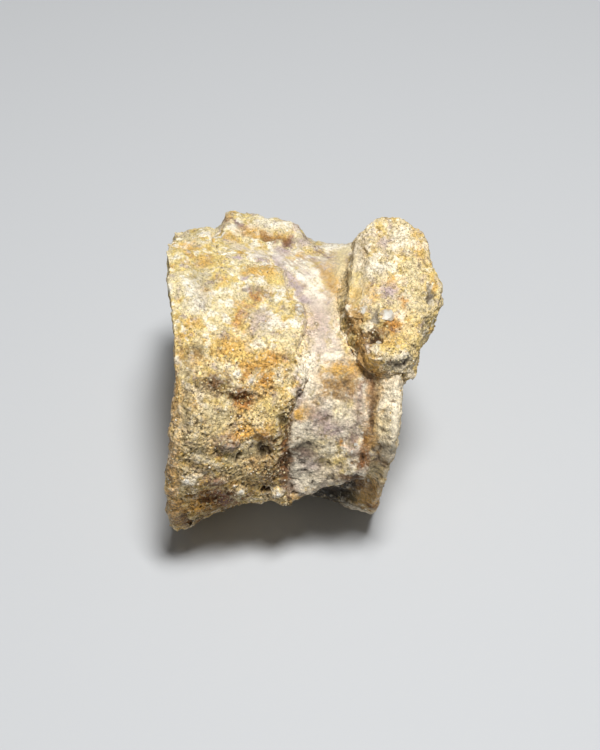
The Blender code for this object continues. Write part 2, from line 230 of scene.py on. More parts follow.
markings = {
    "strength": 1.55,
    "ragged": (0.6 * mm, 1.7 * mm),  # how far their edges wander, and over what width
    "uneven": (0.8, 1.0 * mm, 3, 21.0),  # how much their sizes vary, as a layer of relief
    "spotEdge": (0.2, 1.7),  # where a spot starts to fade and where it ends, as a share of its size
    "lineEdge": (0.2, 1.9),
    "level": 0.66,  # tone, of 1, that neither stands out nor lies deep
    # colour, pixel, half width and half height in pixels, strength
    "spots": (
        # top of the crust
        ("ochre", 188, 247, 11, 6, 0.6),
        ("ochre", 203, 261, 8, 6, 0.7),
        ("white", 202, 235, 9, 5, 0.8),
        ("white", 236, 230, 8, 5, 0.6),
        ("lilac", 238, 257, 4, 3, 0.9),
        ("lilac", 262, 257, 6, 7, 0.8),
        ("lilac", 245, 277, 4, 3, 0.8),
        ("ochre", 252, 271, 8, 4, 0.8),
        ("ochre", 268, 273, 10, 6, 0.9),
        ("yellow", 276, 280, 9, 5, 0.7),
        ("orange", 255, 297, 6, 4, 0.8),
        ("ochre", 240, 306, 6, 8, 0.5),
        ("orange", 238, 319, 5, 7, 0.6),
        ("ochre", 204, 292, 7, 5, 0.5),
        ("lilac", 262, 318, 13, 11, 0.5),
        ("grey", 200, 286, 10, 22, 0.35),
        ("ochre", 260, 360, 17, 9, 0.9),
        ("orange", 272, 357, 8, 6, 0.6),
        ("orange", 253, 366, 8, 4, 0.5),
        ("yellow", 236, 352, 22, 8, 0.6),
        ("ochre", 266, 384, 8, 10, 0.6),
        ("ochre", 232, 345, 14, 9, 0.6),
        ("ochre", 222, 352, 9, 5, 0.5),
        ("olive", 196, 351, 8, 5, 0.55),
        ("white", 258, 345, 7, 4, 0.7),
        ("white", 277, 325, 12, 6, 0.5),
        ("cream", 290, 345, 12, 10, 0.6),
        # middle and foot of the crust
        ("brown", 214, 383, 11, 8, 0.7),
        ("brown", 241, 394, 9, 9, 0.6),
        ("grey", 196, 420, 16, 26, 0.4),
        ("white", 238, 374, 4, 3, 0.9),
        ("white", 251, 381, 3, 3, 0.9),
        ("orange", 246, 376, 4, 3, 0.8),
        ("orange", 265, 378, 4, 5, 0.7),
        ("rust", 242, 399, 10, 5, 0.8),
        ("orange", 244, 407, 9, 5, 0.6),
        ("yellow", 268, 410, 12, 12, 0.6),
        ("ochre", 195, 405, 4, 3, 0.7),
        ("ochre", 236, 435, 5, 6, 0.8),
        ("mauve", 226, 444, 15, 10, 0.65),
        ("dark", 226, 450, 11, 5, 0.25),
        ("mauve", 217, 480, 10, 5, 0.85),
        ("dark", 214, 483, 7, 3, 0.4),
        ("brown", 215, 508, 34, 9, 0.55),
        ("rust", 215, 499, 18, 9, 1.0),
        ("mauve", 224, 503, 8, 6, 0.7),
        ("dark", 206, 498, 12, 4, 0.6),
        ("mauve", 220, 495, 8, 4, 0.6),
        ("ochre", 256, 432, 15, 9, 0.8),
        ("rust", 265, 437, 9, 7, 0.6),
        ("cream", 250, 464, 26, 12, 0.4),
        ("tan", 262, 462, 18, 14, 0.4),
        ("tan", 230, 480, 40, 12, 0.25),
        ("rust", 252, 466, 10, 12, 0.35),
        ("tan", 175, 400, 5, 40, 0.5),
        ("tan", 172, 470, 6, 40, 0.6),
        ("dark", 264, 451, 8, 5, 0.8),
        ("olive", 284, 420, 8, 12, 0.75),
        ("brown", 272, 476, 10, 14, 0.5),
        ("brown", 196, 466, 12, 8, 0.4),
        ("rust", 248, 402, 12, 5, 0.5),
        ("tan", 192, 356, 10, 8, 0.5),
        ("white", 196, 300, 8, 16, 0.4),
        ("white", 187, 482, 6, 4, 0.7),
        ("cream", 222, 420, 14, 8, 0.5),
        ("cream", 246, 452, 10, 6, 0.5),
        ("white", 188, 479, 8, 6, 0.5),
        ("cream", 238, 472, 14, 8, 0.5),
        ("cream", 200, 432, 16, 24, 0.35),
        ("cream", 255, 418, 12, 7, 0.6),
        ("white", 241, 490, 4, 4, 0.8),
        ("white", 278, 493, 4, 4, 0.8),
        ("dark", 266, 491, 4, 4, 0.8),
        ("ochre", 194, 506, 18, 8, 0.8),
        ("dark", 184, 516, 6, 5, 0.8),
        ("brown", 190, 522, 26, 6, 0.7),
        ("tan", 174, 510, 8, 20, 0.6),
        # root of the arch
        ("ochre", 226, 217, 7, 5, 0.6),
        ("white", 275, 223, 22, 5, 0.5),
        ("lilac", 224, 226, 6, 4, 0.5),
        ("pink", 296, 228, 5, 6, 0.9),
        # waist
        ("lilac", 281, 250, 9, 5, 0.7),
        ("mauve", 291, 240, 6, 6, 0.4),
        ("ochre", 299, 256, 6, 4, 0.8),
        ("lilac", 303, 243, 12, 6, 0.5),
        ("lilac", 298, 282, 8, 10, 0.5),
        ("rust", 305, 286, 2.5, 2.5, 0.8),
        ("ochre", 321, 276, 4, 4, 0.6),
        ("ochre", 334, 282, 9, 20, 0.55),
        ("tan", 331, 287, 6, 6, 0.8),
        ("tan", 342, 262, 8, 16, 0.6),
        ("white", 334, 247, 12, 4, 0.9),
        ("white", 316, 300, 8, 12, 0.4),
        ("cream", 336, 312, 10, 12, 0.5),
        ("white", 309, 357, 6, 7, 0.9),
        ("white", 331, 356, 8, 5, 0.8),
        ("white", 317, 337, 6, 8, 0.5),
        ("lilac", 322, 325, 14, 20, 0.35),
        ("ochre", 345, 369, 18, 6, 0.95),
        ("tan", 340, 386, 18, 13, 0.9),
        ("brown", 342, 390, 14, 9, 0.4),
        ("white", 306, 386, 4, 14, 0.7),
        ("white", 307, 378, 6, 22, 0.8),
        ("lilac", 300, 392, 4, 12, 0.6),
        ("pink", 318, 320, 12, 34, 0.5),
        ("white", 314, 280, 8, 10, 0.5),
        # plate
        ("ochre", 300, 414, 7, 6, 0.8),
        ("tan", 313, 408, 8, 8, 0.5),
        ("brown", 323, 419, 6, 5, 0.6),
        ("cream", 345, 412, 14, 12, 0.7),
        ("lilac", 322, 412, 9, 8, 0.6),
        ("white", 346, 420, 12, 10, 0.7),
        ("white", 312, 434, 9, 8, 0.8),
        ("white", 330, 405, 10, 5, 0.6),
        ("lilac", 330, 430, 16, 8, 0.7),
        ("orange", 342, 443, 3, 3, 0.95),
        ("white", 345, 434, 6, 5, 0.6),
        ("yellow", 336, 461, 9, 6, 0.6),
        ("lilac", 302, 470, 14, 16, 0.5),
        ("white", 308, 474, 18, 13, 0.9),
        ("lilac", 296, 478, 6, 12, 0.5),
        ("pink", 356, 449, 7, 8, 0.8),
        ("orange", 364, 457, 5, 7, 0.8),
        ("rust", 362, 466, 6, 5, 0.7),
        ("pink", 359, 415, 9, 26, 0.5),
        ("ochre", 296, 498, 10, 4, 0.6),
        ("brown", 368, 380, 5, 6, 0.5),
        ("orange", 369, 440, 5, 5, 0.6),
        ("rust", 364, 458, 6, 9, 0.7),
        ("cream", 318, 446, 14, 10, 0.6),
        ("white", 300, 472, 8, 14, 0.6),
        ("bone", 322, 474, 16, 7, 0.7),
        ("white", 330, 450, 8, 7, 0.6),
        ("yellow", 324, 462, 9, 5, 0.5),
        ("dark", 305, 452, 6, 5, 0.5),
        ("mauve", 347, 399, 8, 5, 0.3),
        ("white", 306, 461, 8, 6, 0.5),
        ("white", 299, 474, 10, 14, 0.6),
        ("lilac", 312, 464, 10, 8, 0.6),
        ("grey", 303, 450, 12, 9, 0.75),
        ("mauve", 306, 454, 8, 6, 0.5),
        ("dark", 300, 450, 7, 4, 0.5),
        ("orange", 342, 443, 3, 3, 0.8),
        ("brown", 285, 460, 6, 32, 0.8),
        # front rim and foot
        ("tan", 392, 382, 14, 5, 0.6),
        ("white", 389, 408, 14, 36, 1.0),
        ("cream", 382, 424, 8, 12, 0.6),
        ("grey", 384, 450, 14, 5, 0.8),
        ("brown", 380, 462, 14, 6, 0.5),
        ("cream", 376, 470, 10, 6, 0.6),
        ("brown", 352, 480, 12, 5, 0.8),
        # Painted shadow, nearly black, on the foot under the plate's overhang
        ("deep", 330, 497, 30, 14, 1.0),
        ("deep", 352, 484, 12, 7, 0.8),
        ("olive", 358, 501, 14, 12, 0.8),
        ("tan", 371, 492, 14, 16, 0.7),
        ("brown", 362, 486, 8, 6, 0.6),
        ("ochre", 370, 503, 12, 9, 0.6),
        ("rust", 372, 507, 8, 5, 0.6),
        # cap of the boss
        ("bone", 357, 262, 12, 30, 0.7),
        ("ochre", 352, 292, 8, 8, 0.7),
        ("yellow", 356, 275, 5, 4, 0.6),
        ("lilac", 384, 242, 9, 7, 0.5),
        ("white", 380, 270, 8, 7, 0.8),
        ("cream", 412, 285, 12, 30, 0.5),
        ("lilac", 389, 291, 9, 7, 0.7),
        ("ochre", 372, 296, 5, 8, 0.5),
        ("ochre", 391, 280, 6, 4, 0.5),
        ("orange", 405, 302, 5, 5, 0.6),
        ("orange", 394, 324, 7, 9, 0.8),
        ("rust", 388, 330, 10, 4, 0.8),
        ("yellow", 352, 280, 10, 24, 0.4),
        ("yellow", 396, 344, 16, 12, 0.7),
        ("ochre", 390, 340, 10, 8, 0.5),
        ("rust", 352, 323, 8, 10, 0.6),
        ("brown", 356, 348, 4, 12, 0.6),
        ("orange", 361, 350, 5, 12, 0.5),
        ("grey", 376, 316, 4, 9, 0.8),
        ("tan", 353, 318, 8, 9, 0.9),
        ("brown", 368, 337, 13, 6, 0.9),
        ("dark", 370, 338, 8, 3, 0.8),
        ("cream", 362, 327, 6, 4, 0.7),
        ("pink", 366, 350, 5, 8, 0.5),
        ("ochre", 370, 362, 8, 7, 0.9),
        ("grey", 399, 362, 12, 7, 0.7),
        ("white", 403, 356, 6, 3, 0.8),
        ("dark", 402, 364, 6, 3, 0.7),
        ("grey", 430, 293, 4, 9, 0.85),
        ("dark", 427, 297, 2.5, 5, 0.6),
        ("ochre", 420, 250, 6, 12, 0.4),
        ("white", 402, 240, 12, 14, 0.5),
        ("cream", 408, 330, 8, 10, 0.5),
    ),
    # colour, half width in mm, strength, pixels
    "lines": (
        # Painted light: a cream line that lightens the shaded left wall of the cap
        ("cream", 1.1, 0.8, ((343, 250), (340, 268), (339, 288), (342, 306))),
        ("ochre", 1.1, 0.8, ((343, 312), (347, 328), (355, 348), (366, 364), (380, 374))),
        ("rust", 0.5, 0.5, ((343, 312), (347, 330), (354, 348), (365, 366), (380, 376))),
        ("ochre", 0.8, 0.6, ((243, 229), (256, 233), (270, 236), (284, 235))),
        ("rust", 0.6, 0.65, ((264, 236), (274, 239), (283, 238), (290, 240))),
        ("mauve", 0.35, 0.7, ((226, 218), (236, 220), (244, 228))),
        ("white", 0.5, 0.6, ((256, 283), (266, 286), (275, 291), (282, 292))),
        # Painted shadow, brownish lilac, under the ledge of the white vein
        ("mauve", 0.6, 0.45, ((244, 289), (256, 289), (270, 295))),
        ("white", 0.45, 0.9, ((268, 245), (280, 262), (296, 273), (309, 285), (321, 298))),
        ("lilac", 0.8, 0.6, ((276, 258), (288, 276), (297, 290), (304, 302))),
        ("mauve", 0.3, 0.6, ((303, 236), (316, 248), (330, 258))),
        ("mauve", 0.25, 0.5, ((306, 238), (320, 248), (334, 256))),
        ("tan", 0.7, 0.6, ((312, 262), (326, 274), (338, 290), (344, 306))),
        ("white", 0.3, 0.8, ((292, 256), (306, 262), (318, 272))),
        # Painted shadow under the overhanging lower edge of the plate
        ("dark", 0.5, 0.7, ((303, 494), (325, 489), (345, 483), (357, 477))),
        ("tan", 1.0, 0.7, ((347, 306), (353, 326), (358, 346), (364, 364))),
        ("olive", 0.7, 0.5, ((298, 394), (294, 408), (288, 420))),
        ("rust", 0.8, 0.55, ((286, 446), (284, 462), (287, 480), (291, 494))),
        ("dark", 0.3, 0.7, ((241, 455), (237, 462))),
        ("dark", 0.4, 0.7, ((190, 497), (202, 499), (214, 497))),
        ("ochre", 0.9, 0.6, ((375, 377), (376, 396), (375, 414), (373, 432), (370, 444))),
        ("rust", 0.6, 0.6, ((372, 380), (373, 397), (371, 412), (370, 430), (366, 446), (362, 462))),
        ("brown", 0.25, 0.6, ((372, 398), (384, 399), (396, 401))),
        ("mauve", 0.4, 0.5, ((362, 385), (360, 405), (357, 425), (352, 440))),
        ("white", 0.3, 0.8, ((343, 276), (342, 290), (345, 302), (349, 312))),
        ("olive", 0.6, 0.3, ((186, 352), (190, 380), (186, 410), (184, 440))),
    ),
}


def stained(piece, points):
    # Keeps the colour and strength of the stains at each vertex, given the points before they were moved. It
    # returns how light they are, from -1 to 1, because the pale ones stand out and the dark ones lie deep.
    points = wandering(points, *markings["ragged"])
    uneven = 1 + relief(cloud, points, markings["uneven"])
    masks = []
    for name, *spot, share in markings["spots"]:
        near = spotDistance(points, spot)
        masks.append((name, share * smoothFall(near * uneven, *markings["spotEdge"])))
    for name, width, share, pixels in markings["lines"]:
        near = lineDistance(points, pixels) / (width * mm)
        masks.append((name, share * smoothFall(near * uneven, *markings["lineEdge"])))
    colour = np.zeros((len(points), 3))
    strength = np.zeros(len(points))
    for name, mask in masks:
        colour = colour * (1 - mask[:, None]) + np.array(palette[name][:3]) * mask[:, None]
        strength = 1 - (1 - strength) * (1 - mask)
    colour /= np.maximum(strength, 0.001)[:, None]
    strength *= markings["strength"]
    attribute = piece.data.attributes.new("stain", "FLOAT_COLOR", "POINT")
    attribute.data.foreach_set("color", np.column_stack([colour, strength]).astype(np.float32).ravel())
    return (np.sqrt(colour.mean(axis=1)) - markings["level"]) * 2 * strength


def applied(piece):
    # Turns a piece's modifiers into its mesh
    graph = bpy.context.evaluated_depsgraph_get()
    mesh = bpy.data.meshes.new_from_object(piece.evaluated_get(graph))
    piece.modifiers.clear()
    piece.data = mesh


def evenSkin(node, name, voxel, rounds):
    # A copy of a CAD node's surface as small even faces, its facets smoothed away
    bm = bmesh.new()
    bm.from_mesh(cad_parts[node].data)
    bmesh.ops.remove_doubles(bm, verts=bm.verts, dist=0.001 * mm)
    mesh = bpy.data.meshes.new(name)
    bm.to_mesh(mesh)
    bm.free()
    piece = addObject(name, mesh)
    remesh = piece.modifiers.new("even", "REMESH")
    remesh.mode = "VOXEL"
    remesh.voxel_size = voxel
    soften = piece.modifiers.new("soft", "SMOOTH")
    soften.iterations = rounds
    applied(piece)
    print(f"  {len(piece.data.polygons)} faces")
    return piece


def pointsOf(piece):
    flat = np.empty(len(piece.data.vertices) * 3)
    piece.data.vertices.foreach_get("co", flat)
    return flat.reshape(-1, 3)


def normalsOf(piece):
    flat = np.empty(len(piece.data.vertices) * 3)
    piece.data.vertex_normals.foreach_get("vector", flat)
    return flat.reshape(-1, 3)


def movePoints(piece, points):
    # Nothing may go below the table, at Z 0
    points[:, 2] = np.maximum(points[:, 2], 0)
    piece.data.vertices.foreach_set("co", points.ravel())
    piece.data.update()


def mark(piece, **values):
    # Keeps numbers for each vertex, for the material to read
    for name, numbers in values.items():
        attribute = piece.data.attributes.new(name, "FLOAT", "POINT")
        attribute.data.foreach_set("value", np.asarray(numbers, dtype=np.float32))


def marked(piece, name):
    # Reads one of these numbers back
    numbers = np.empty(len(piece.data.vertices), dtype=np.float32)
    piece.data.attributes[name].data.foreach_get("value", numbers)
    return numbers


def meanPoints(piece, rounds):
    # The vertices after rounds of smoothing, each of which moves them to the mean of their neighbours
    points = pointsOf(piece)
    ends = np.empty(len(piece.data.edges) * 2, dtype=np.int32)
    piece.data.edges.foreach_get("vertices", ends)
    first, second = ends.reshape(-1, 2).T
    count = np.bincount(ends, minlength=len(points))[:, None]
    mean = points
    for _ in range(rounds):
        sums = []
        for axis in range(3):
            ahead = np.bincount(first, mean[second, axis], len(points))
            sums.append(ahead + np.bincount(second, mean[first, axis], len(points)))
        mean = np.stack(sums, axis=1) / count
    return mean


def hollows(piece, rounds, depth):
    # How far each vertex lies below the mean of those around it, as a share of a depth
    return ((meanPoints(piece, rounds) - pointsOf(piece)) * normalsOf(piece)).sum(axis=1) / depth


def sculpted(points, shapes):
    # Height in metres of the bumps and grooves of a piece. A bump is a pixel, half width and half height in
    # pixels, and a height in mm. A groove is a half width and a height in mm, and its pixels.
    points = wandering(points, *shapes["ragged"])
    height = np.zeros(len(points))
    for *spot, rise in shapes["bumps"]:
        height += rise * mm * np.exp(-(spotDistance(points, spot) ** 2))
    uneven = 1 + 0.6 * cloud(points, 1.0 * mm, 2, 22.0)
    for width, rise, pixels in shapes["grooves"]:
        height += rise * mm * np.exp(-((lineDistance(points, pixels) * uneven / (width * mm)) ** 2))
    return height


def settle(piece, bone, reach, sink):
    # Pushes the underside of a crust into the bone that it lies on, so that no gap shows at its edge
    points = pointsOf(piece)
    normals = normalsOf(piece)
    for k, (point, normal) in enumerate(zip(points, normals)):
        place, outward, _, distance = bone.find_nearest(point, reach)
        if place is None:
            continue
        facing = -outward.dot(Vector(normal))
        share = min(1, max(0, facing + 0.35)) * (1 - distance / reach) ** 0.5
        points[k] = Vector(point).lerp(place - outward * sink, share)
    movePoints(piece, points)


def hooked(piece, bone):
    # Draws the rear edge of the crust out over the rim of the bone, which rays from behind find
    points = pointsOf(piece)
    low = smoothStep(turnOf(points), *crust["rimFrom"])
    for k in np.flatnonzero(points[:, 0] < crust["rearX"] + crust["hookReach"]):
        inward = Vector((0, spine["axisY"] - points[k, 1], spine["axisZ"] - points[k, 2])).normalized()
        start = Vector((2 * crust["rearX"], points[k, 1], points[k, 2])) + inward * crust["hookProbe"]
        end = bone.ray_cast(start, rightward)[0]
        if end is not None:
            share = smoothFall(points[k, 0] - end.x, *crust["hookFade"])
            points[k, 0] -= share * (crust["hook"] + crust["rimGap"] * low[k])
    movePoints(piece, points)
    softened = smoothFall(points[:, 0] - crust["rearX"], *crust["hookSoft"])
    movePoints(piece, points + (meanPoints(piece, crust["hookRounds"]) - points) * softened[:, None])


foot = {
    "from": 31 * mm,  # height in the picture, measured from the frame's origin, at which it starts
    "full": 7 * mm,
    "ragged": (3 * mm, 5 * mm, 2, 31.0),
}


def lowness(points):
    # 0 on the parts of the flank that face up, 1 on those low down, as seen in the photograph
    height = points @ np.array(upward) + relief(cloud, points, foot["ragged"])
    return smoothFall(height, foot["full"], foot["from"])


def finishPiece(piece, material, node=None, smooth=True):
    piece.data.materials.clear()
    piece.data.materials.append(material)
    if smooth:
        piece.data.shade_smooth()
    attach(piece, "root")
    if node:
        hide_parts(node)


class Wire:
    # A socket of a material that sums can be written on
    def __init__(self, paint, socket):
        self.paint = paint
        self.socket = socket

    def colour(self):
        # The colour output of the same node
        return Wire(self.paint, self.socket.node.outputs["Color"])

    def sum(self, operation, first, second):
        return self.paint.node("ShaderNodeMath", {"operation": operation}, {0: first, 1: second})

    def __add__(self, other):
        return self.sum("ADD", self, other)

    __radd__ = __add__

    def __sub__(self, other):
        return self.sum("SUBTRACT", self, other)

    def __rsub__(self, other):
        return self.sum("SUBTRACT", other, self)

    def __mul__(self, other):
        return self.sum("MULTIPLY", self, other)

    __rmul__ = __mul__

    def __gt__(self, other):
        return self.sum("GREATER_THAN", self, other)

    def atLeast(self, other):
        return self.sum("MAXIMUM", self, other)


class Paint:
    # A material in the making
    def __init__(self, name, roughness):
        self.material = bpy.data.materials.new(name)
        self.material.use_nodes = True
        self.tree = self.material.node_tree
        self.shader = self.tree.nodes["Principled BSDF"]
        self.shader.inputs["Roughness"].default_value = roughness
        self.shader.inputs["Specular IOR Level"].default_value = 0.3
        self.place = self.node("ShaderNodeTexCoord", output="Object")

    def node(self, kind, settings=None, values=None, output=0):
        made = self.tree.nodes.new(kind)
        for key, value in (settings or {}).items():
            setattr(made, key, value)
        for key, value in (values or {}).items():
            self.feed(made.inputs[key], value)
        return Wire(self, made.outputs[output])

    def feed(self, socket, value):
        if isinstance(value, Wire):
            self.tree.links.new(value.socket, socket)
        else:
            socket.default_value = value

    def mix(self, first, second, share, blend="MIX"):
        settings = {"data_type": "RGBA", "blend_type": blend}
        return self.node("ShaderNodeMix", settings, {0: share, 6: first, 7: second}, 2)

    def clouds(self, size, detail=3, roughness=0.55, place=None):
        # Cloudy noise with lumps as wide as size, about 0.5 on average
        values = {"Vector": place or self.place, "Scale": 1 / size}
        values.update({"Detail": detail, "Roughness": roughness})
        return self.node("ShaderNodeTexNoise", None, values)

    def moved(self, by):
        return self.node("ShaderNodeVectorMath", None, {0: self.place, 1: by})

    def between(self, value, low, high):
        # Rises smoothly from 0 at low to 1 at high
        settings = {"interpolation_type": "SMOOTHSTEP"}
        values = {"Value": value, "From Min": low, "From Max": high}
        return self.node("ShaderNodeMapRange", settings, values)

    def marked(self, name, output="Fac"):
        return self.node("ShaderNodeAttribute", {"attribute_name": name}, output=output)

    def bump(self, height, distance, below=None):
        values = {"Height": height, "Distance": distance}
        if below:
            values["Normal"] = below
        return self.node("ShaderNodeBump", None, values)


grit = {
    "speck": 0.27 * mm,
    "grain": 0.5 * mm,
    "blotch": 1.5 * mm,
    "warm": 3.2 * mm,
    "cool": 2.56 * mm,
    "cell": 0.5 * mm,  # of the gaps between grains
    "ragged": (0.25 * mm,) * 3,  # how far the gaps wander
    "bump": 0.12 * mm,
    "fibreBump": 0.06 * mm,
    "glint": 0.45,  # how much smoother the shiny grains are
    "warmth": (1, 0.91, 0.76, 1),
    "darkest": 0.15,
    # colour, noise, its values where the colour starts and is full, the share of it, and what the foot adds
    "sand": (
        ("yellow", "warm", 0.44, 0.56, 1, 0),
        ("ochre", "warm", 0.54, 0.7, 0.85, 0),
        ("white", "cool", 0.52, 0.62, 0.95, -0.15),
        ("lilac", "cool", 0.45, 0.32, 0.65, 0),
    ),
    "bone": (
        ("pink", "bands", 0.42, 0.6, 0.7, 0),
        ("lilac", "coolBands", 0.5, 0.62, 0.85, -0.3),
        ("yellow", "warm", 0.5, 0.6, 0.8, 0),
        ("tan", "warm", 0.44, 0.34, 0, 0.6),
        ("white", "paleFibres", 0.5, 0.6, 0.85, 0),
        ("white", "cool", 0.5, 0.58, 0, 0.7),
        ("mauve", "fibres", 0.42, 0.3, 0.4, -0.1),
    ),
    # contrast of each noise on the upper flank, and what the foot adds
    "contrast": {"speck": (1.5, 0.8), "grain": (1.2, 0.8), "gaps": (0.35, 1.2), "blotch": (0.8, 0.7)},
}


def paintFossil(name, roughness):
    # Cemented sand, cream to ochre, that gives way to pale streaked bone where the piece is marked bare
    paint = Paint(name, roughness)
    coarse = paint.marked("coarse")
    hollow = paint.marked("hollow")
    bare = paint.marked("bare")
    ribbed = paint.marked("ribbed")
    flow = paint.node("ShaderNodeCombineXYZ", None, {0: paint.marked("along"), 1: paint.marked("across")})
    fibres = paint.clouds(1, 4, 0.6, flow)
    bands = paint.clouds(3.5, 4, 0.6, flow)
    ribs = paint.clouds(1.3, 2, 0.6, flow)
    speck = paint.clouds(grit["speck"], 1, 0.6)
    grain = paint.clouds(grit["grain"], 2, 0.7, paint.moved((0.02, 0.05, 0.01)))
    blotch = paint.clouds(grit["blotch"], 3, 0.7)
    warm = paint.clouds(grit["warm"], 3, 0.65, paint.moved((0.05, 0.02, 0.03)))
    cool = paint.clouds(grit["cool"], 3, 0.65, paint.moved((0.01, 0.07, 0.04)))
    ragged = {0: speck.colour(), 1: grit["ragged"], 2: paint.place}
    place = paint.node("ShaderNodeVectorMath", {"operation": "MULTIPLY_ADD"}, ragged)
    gaps = paint.node("ShaderNodeTexVoronoi", None, {"Vector": place, "Scale": 1 / grit["cell"]})
    noises = {"warm": warm, "cool": cool, "bands": bands, "fibres": fibres}
    noises["coolBands"] = bands * 0.5 + cool * 0.5
    noises["paleFibres"] = blotch * 0.45 + fibres * 0.55

    def layered(colour, layers):
        for tone, over, low, high, share, onFoot in layers:
            share = paint.between(noises[over], low, high) * (coarse * onFoot + share)
            colour = paint.mix(colour, palette[tone], share)
        return colour

    def contrast(over):
        share, onFoot = grit["contrast"][over]
        return coarse * onFoot + share

    sandy = layered(palette["cream"], grit["sand"])
    sandy = paint.mix(sandy, palette["tan"], coarse * 0.25)
    sandy = paint.mix(sandy, palette["brown"], paint.between(blotch, 0.5, 0.7) * coarse * 0.6)
    pale = layered(palette["bone"], grit["bone"])
    # Brown streaks along the fibres of the ribbed rim, where the fibre noise is low
    ribStreaks = paint.between(fibres * 0.5 + ribs * 0.5, 0.49, 0.4)
    pale = paint.mix(pale, palette["brown"], ribStreaks * ribbed * 0.75)
    colour = paint.mix(sandy, pale, bare)
    flecked = paint.between(blotch * 0.5 + grain * 0.5, 0.36, 0.56) * 0.6 + 0.4
    colour = paint.mix(colour, paint.marked("stain", "Color"), paint.marked("stain", "Alpha") * flecked)
    calm = 1 - bare * 0.5 - ribbed * 0.2
    shade = (speck - 0.5) * contrast("speck") + (grain - 0.5) * contrast("grain")
    # Darker in the gaps between grains: painted shade in those crevices, deeper low down
    shade = shade + (0.47 - gaps) * contrast("gaps")
    shade = 1 + shade * calm + (blotch - 0.5) * contrast("blotch") + coarse * (0.16 - bare * 0.16)
    colour = paint.mix(colour, shade.atLeast(grit["darkest"]), 1, "MULTIPLY")
    colour = paint.mix(colour, grit["warmth"], coarse * (1 - bare * 0.5), "MULTIPLY")
    dots = paint.between(speck + (0.5 - cool) * 0.35, 0.59, 0.68)
    colour = paint.mix(colour, palette["dark"], dots * (0.75 + coarse * 0.1 - bare * 0.55))
    # Hollows darkened, more low down, as painted shade and dirt in them; ridges lightened as painted
    # highlight
    colour = paint.mix(colour, palette["dark"], paint.between(hollow, 0.1, 1.5) * (0.25 + coarse * 0.45))
    colour = paint.mix(colour, palette["white"], paint.between(hollow, -0.3, -1.5) * 0.25)
    paint.feed(paint.shader.inputs["Base Color"], colour)
    glint = paint.between(speck * 0.5 + cool * 0.5, 0.52, 0.6)
    paint.feed(paint.shader.inputs["Roughness"], roughness - glint * grit["glint"])
    low = paint.bump(fibres * bare, grit["fibreBump"])
    grainy = speck * 0.7 + grain - gaps * 0.8
    paint.feed(paint.shader.inputs["Normal"], paint.bump(grainy, grit["bump"], low))
    return paint.material


def besideOf(tree, points, normals, reach):
    # How near each point is to a piece that stands beside it, 1 touching it and 0 at the reach or under it
    shares = np.zeros(len(points))
    for k, (point, normal) in enumerate(zip(points.tolist(), normals.tolist())):
        place, _, _, distance = tree.find_nearest(point, reach)
        if place is not None:
            above = (place - Vector(point)).normalized().dot(Vector(normal))
            shares[k] = (1 - distance / reach) * min(1, max(0, 2 - 2.5 * above))
    return shares


def gapTo(tree, points, reach):
    # Distance of each point from a surface, at most reach
    found = (tree.find_nearest(point, reach) for point in points.tolist())
    return np.array([reach if place is None else distance for place, _, _, distance in found])


spine = {
    "axisY": 1.0 * mm,
    "axisZ": 22.9 * mm,
    "radius": 21 * mm,
    "streakTurn": math.radians(53),  # lie of the fibres on the waist
    "straightLow": (1.9, 2.5),  # angles low on the flank over which they turn straight
    "straightKeel": (0, 0.5),
    "straightRim": (-0.4 * mm, 0.8 * mm),
    "rimX": 11.6 * mm,
    "fibreLength": 3.0 * mm,
    "fibreWidth": 0.4 * mm,
}


def turnOf(points):
    # Angle about the length of the bone, from its back over its upper flank
    return np.arctan2(points[:, 2] - spine["axisZ"], points[:, 1] - spine["axisY"])


def fibreFlow(points):
    # Each point's place along and across the fibres, slanted on the waist and straight on the rim
    turn = turnOf(points)
    around = turn * spine["radius"]
    x = points[:, 0]
    low = smoothStep(turn, *spine["straightLow"]) + smoothStep(-turn, *spine["straightKeel"])
    lie = spine["streakTurn"] + (math.pi / 2 - spine["streakTurn"]) * np.clip(low, 0, 1)
    lie *= smoothFall(x - spine["rimX"], *spine["straightRim"])
    along = x * np.cos(lie) + around * np.sin(lie)
    across = around * np.cos(lie) - x * np.sin(lie)
    return along / spine["fibreLength"], across / spine["fibreWidth"]


mostTriangles = 192000  # of each of the three skins


def thinned(piece):
    piece.data.calc_loop_triangles()
    count = len(piece.data.loop_triangles)
    if count > mostTriangles:
        fewer = piece.modifiers.new("fewer", "DECIMATE")
        fewer.ratio = mostTriangles / count
        applied(piece)
    print(f"  {len(piece.data.polygons)} faces kept")


def shapeSkin(piece, points, normals, height, shapes):
    # Raises a skin by its relief, its bumps and grooves and its pale stains, and returns its hollows, for
    # painted shade in them and painted highlight on its ridges
    height += shapes["carving"] * sculpted(points, shapes)
    height += shapes["stainRise"] * stained(piece, points)
    movePoints(piece, points + normals * height[:, None])
    return hollows(piece, *shapes["hollow"])


def finishSkin(piece, points, material, slot, node, **marks):
    # Keeps what the material reads, thins the skin and finishes it, given the points before they were moved
    along, across = fibreFlow(points)
    mark(piece, along=along, across=across, **marks)
    thinned(piece)
    finishPiece(piece, material, node)


